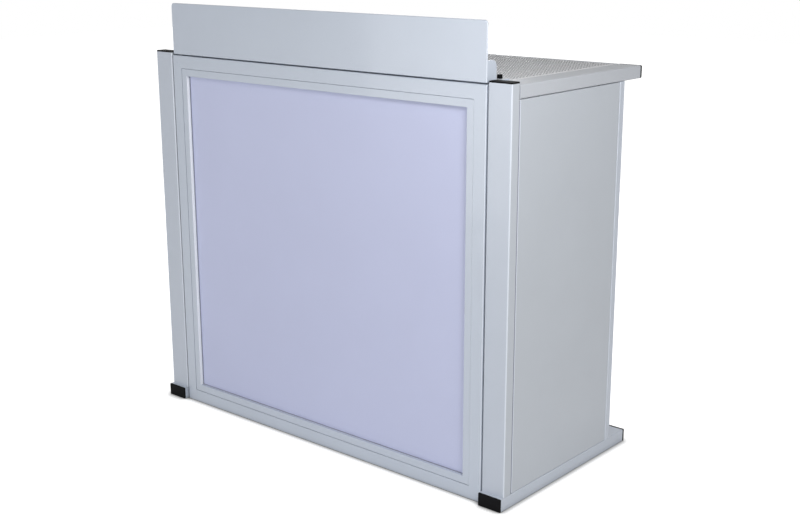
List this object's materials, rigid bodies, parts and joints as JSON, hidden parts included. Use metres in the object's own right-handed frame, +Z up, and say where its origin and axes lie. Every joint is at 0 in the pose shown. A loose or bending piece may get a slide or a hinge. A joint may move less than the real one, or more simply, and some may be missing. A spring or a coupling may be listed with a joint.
{
  "type": "folding dj booth",
  "caption": "Free-standing folding booth: a framed translucent front between silver posts, panelled sides that fold in behind it, a lift-off perforated table and a low fascia.",
  "frame": {"origin": "centre of the bounding box, on the floor", "axes": "+X to the right seen from the front, front faces -Y, +Z up"},
  "size_m": [1.2, 0.5656, 1.135],
  "materials": {
    "silver_coat": "satin silver coat",
    "frame_aluminium": "satin anodised",
    "side_panel": "satin silver coat",
    "perforated_sheet": "satin, perforated",
    "diffuser": "satin translucent, lavender tint",
    "black_plastic": "fine moulded grain",
    "black_rubber": "matte",
    "bright_steel": "zinc plated"
  },
  "bodies": {
    "front_panel": {"front_frame_top": "frame_aluminium", "front_frame_bottom": "frame_aluminium", "front_frame_left": "frame_aluminium", "front_frame_right": "frame_aluminium", "frame_corner_keys": "black_plastic", "bezel_top": "frame_aluminium", "bezel_bottom": "frame_aluminium", "bezel_left": "frame_aluminium", "bezel_right": "frame_aluminium", "diffuser_panel": "diffuser", "diffuser_seal": "black_rubber", "right_frame_hinge_leaves": "bright_steel", "right_hinge_pins": "bright_steel", "right_frame_rivets": "bright_steel", "left_frame_hinge_leaves": "bright_steel", "left_hinge_pins": "bright_steel", "left_frame_rivets": "bright_steel"},
    "right_wing": {"right_post": "silver_coat", "right_post_cap": "black_plastic", "right_base_rail": "silver_coat", "right_base_front_plug": "black_plastic", "right_base_rear_plug": "black_plastic", "right_rear_stile": "silver_coat", "right_top_bearer": "silver_coat", "right_table_pads": "black_rubber", "right_side_panel": "side_panel", "right_panel_angles": "frame_aluminium", "right_wing_hinge_leaves": "bright_steel", "right_wing_rivets": "bright_steel"},
    "left_wing": {"left_post": "silver_coat", "left_post_cap": "black_plastic", "left_base_rail": "silver_coat", "left_base_front_plug": "black_plastic", "left_base_rear_plug": "black_plastic", "left_rear_stile": "silver_coat", "left_top_bearer": "silver_coat", "left_table_pads": "black_rubber", "left_side_panel": "side_panel", "left_panel_angles": "frame_aluminium", "left_wing_hinge_leaves": "bright_steel", "left_wing_rivets": "bright_steel"},
    "table": {"right_table_rail": "silver_coat", "left_table_rail": "silver_coat", "right_table_rail_cap": "black_plastic", "left_table_rail_cap": "black_plastic", "table_front_rail": "silver_coat", "table_rear_rail": "silver_coat", "table_sheet": "perforated_sheet", "table_stiffeners": "silver_coat", "table_weld_nuts": "bright_steel"},
    "fascia": {"fascia_plate": "frame_aluminium"},
    "right_thumb_screw": {"right_thumb_knob": "black_plastic", "right_thumb_stud": "bright_steel"},
    "left_thumb_screw": {"left_thumb_knob": "black_plastic", "left_thumb_stud": "bright_steel"}
  },
  "joints": [
    {"name": "table_lift", "type": "slide", "parent": "front_panel", "child": "table", "axis": [0, 0.1392, 0.9903], "range_m": [0, 1]},
    {"name": "right_wing_fold", "type": "hinge", "parent": "front_panel", "child": "right_wing", "pos_m": [0.533, -0.23525, 0.5], "axis": [0, 0, 1], "range_deg": [0, 90]},
    {"name": "left_wing_fold", "type": "hinge", "parent": "front_panel", "child": "left_wing", "pos_m": [-0.533, -0.23525, 0.5], "axis": [0, 0, -1], "range_deg": [0, 90]},
    {"name": "fascia_lift", "type": "slide", "parent": "table", "child": "fascia", "axis": [0, 0, 1], "range_m": [0, 0.1]},
    {"name": "right_thumb_turn", "type": "hinge", "parent": "fascia", "child": "right_thumb_screw", "pos_m": [0.5115, -0.19425, 1.002], "axis": [0, 0, 1], "continuous": true},
    {"name": "left_thumb_turn", "type": "hinge", "parent": "fascia", "child": "left_thumb_screw", "pos_m": [-0.5115, -0.19425, 1.002], "axis": [0, 0, 1], "continuous": true}
  ],
  "couplings": [
    {"joint": "right_wing_fold", "follows": "table_lift", "rad_per_m": 1.57},
    {"joint": "left_wing_fold", "follows": "table_lift", "rad_per_m": 1.57}
  ]
}
